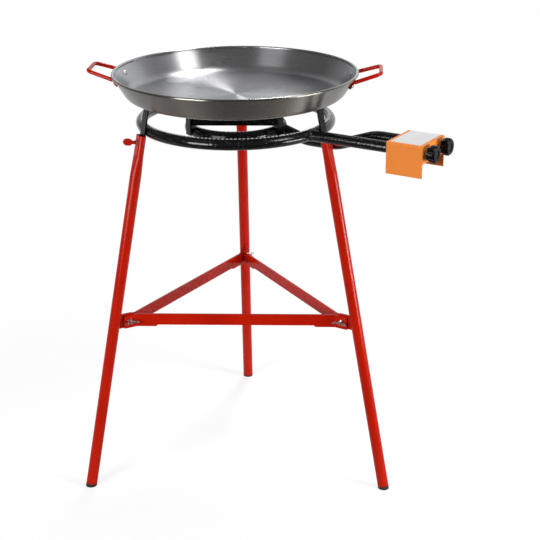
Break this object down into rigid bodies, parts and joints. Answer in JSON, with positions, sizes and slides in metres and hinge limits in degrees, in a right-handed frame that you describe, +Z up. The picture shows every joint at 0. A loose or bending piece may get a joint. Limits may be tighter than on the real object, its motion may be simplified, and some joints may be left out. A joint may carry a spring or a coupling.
{
  "type": "paella burner",
  "caption": "Gas ring burner on a splayed tripod with a flat brace, a hooded tap block with knobs, and a wide shallow steel pan with loop handles.",
  "frame": {"origin": "on the floor, under the middle of the whole outline seen from above", "axes": "+Z up, -Y towards the person at the knobs, +X to the right of someone facing +Y"},
  "size_m": [0.6464, 0.7445, 0.8656],
  "materials": {
    "pan_steel": "polished carbon steel, brushed in circles",
    "rivet_steel": "plain steel rivets",
    "black_enamel": "glossy black enamel with fine pale specks",
    "zinc_plate": "bright zinc plate",
    "brass": "turned brass",
    "black_plastic": "moulded heat-proof plastic",
    "orange_paint": "satin orange powder coat on sheet steel",
    "red_paint": "glossy red enamel",
    "foot_rubber": "moulded black plugs"
  },
  "bodies": {
    "stand": {"outer_ring": "black_enamel", "inner_ring": "black_enamel", "outer_feed_pipe": "black_enamel", "inner_feed_pipe": "black_enamel", "pan_support_front": "black_enamel", "pan_support_left": "black_enamel", "pan_support_right": "black_enamel", "tie_bar": "black_enamel", "jet_holder_outer": "zinc_plate", "jet_holder_inner": "zinc_plate", "jet_outer": "brass", "jet_inner": "brass", "tap_outer": "brass", "tap_inner": "brass", "tap_nut_outer": "zinc_plate", "tap_nut_inner": "zinc_plate", "gas_rail": "zinc_plate", "hose_nipple": "brass", "tap_cover": "orange_paint", "leg_front": "red_paint", "leg_left": "red_paint", "leg_right": "red_paint", "leg_boss_front": "zinc_plate", "leg_boss_left": "zinc_plate", "leg_boss_right": "zinc_plate", "leg_ear_front": "red_paint", "leg_ear_left": "red_paint", "leg_ear_right": "red_paint", "foot_plug_front": "foot_rubber", "foot_plug_left": "foot_rubber", "foot_plug_right": "foot_rubber", "brace_left": "red_paint", "brace_right": "red_paint", "brace_back": "red_paint", "brace_bolt_front": "zinc_plate", "brace_bolt_left": "zinc_plate", "brace_bolt_right": "zinc_plate"},
    "pan": {"pan_shell": "pan_steel", "pan_handle_near": "red_paint", "pan_handle_far": "red_paint", "handle_rivets": "rivet_steel"},
    "control_outer": {"tap_stem_outer": "brass", "knob_outer": "black_plastic"},
    "control_inner": {"tap_stem_inner": "brass", "knob_inner": "black_plastic"},
    "clamp_front": {"clamp_screw_front": "red_paint"},
    "clamp_left": {"clamp_screw_left": "red_paint"},
    "clamp_right": {"clamp_screw_right": "red_paint"},
    "wing_front": {"wing_nut_front": "zinc_plate"},
    "wing_left": {"wing_nut_left": "zinc_plate"},
    "wing_right": {"wing_nut_right": "zinc_plate"}
  },
  "joints": [
    {"name": "pan_lift", "type": "slide", "parent": "stand", "child": "pan", "axis": [0, 0, 1], "range_m": [0, 0.25]},
    {"name": "knob_outer_turn", "type": "hinge", "parent": "stand", "child": "control_outer", "pos_m": [-0.03, -0.35517, 0.756], "axis": [0, -1, 0], "range_deg": [0, 180]},
    {"name": "knob_inner_turn", "type": "hinge", "parent": "stand", "child": "control_inner", "pos_m": [0.03, -0.35517, 0.756], "axis": [0, -1, 0], "range_deg": [0, 180]},
    {"name": "clamp_front_turn", "type": "hinge", "parent": "stand", "child": "clamp_front", "pos_m": [0, -0.11996, 0.73548], "axis": [0, -0.9806, 0.1959], "continuous": true},
    {"name": "clamp_left_turn", "type": "hinge", "parent": "stand", "child": "clamp_left", "pos_m": [-0.18428, 0.19923, 0.73548], "axis": [-0.8492, 0.4903, 0.1959], "continuous": true},
    {"name": "clamp_right_turn", "type": "hinge", "parent": "stand", "child": "clamp_right", "pos_m": [0.18428, 0.19923, 0.73548], "axis": [0.8492, 0.4903, 0.1959], "continuous": true},
    {"name": "wing_front_turn", "type": "hinge", "parent": "stand", "child": "wing_front", "pos_m": [0, -0.16339, 0.363], "axis": [-1, 0, 0], "continuous": true},
    {"name": "wing_left_turn", "type": "hinge", "parent": "stand", "child": "wing_left", "pos_m": [-0.22189, 0.22094, 0.363], "axis": [-0.5, -0.866, 0], "continuous": true},
    {"name": "wing_right_turn", "type": "hinge", "parent": "stand", "child": "wing_right", "pos_m": [0.22189, 0.22094, 0.363], "axis": [0.5, -0.866, 0], "continuous": true}
  ]
}
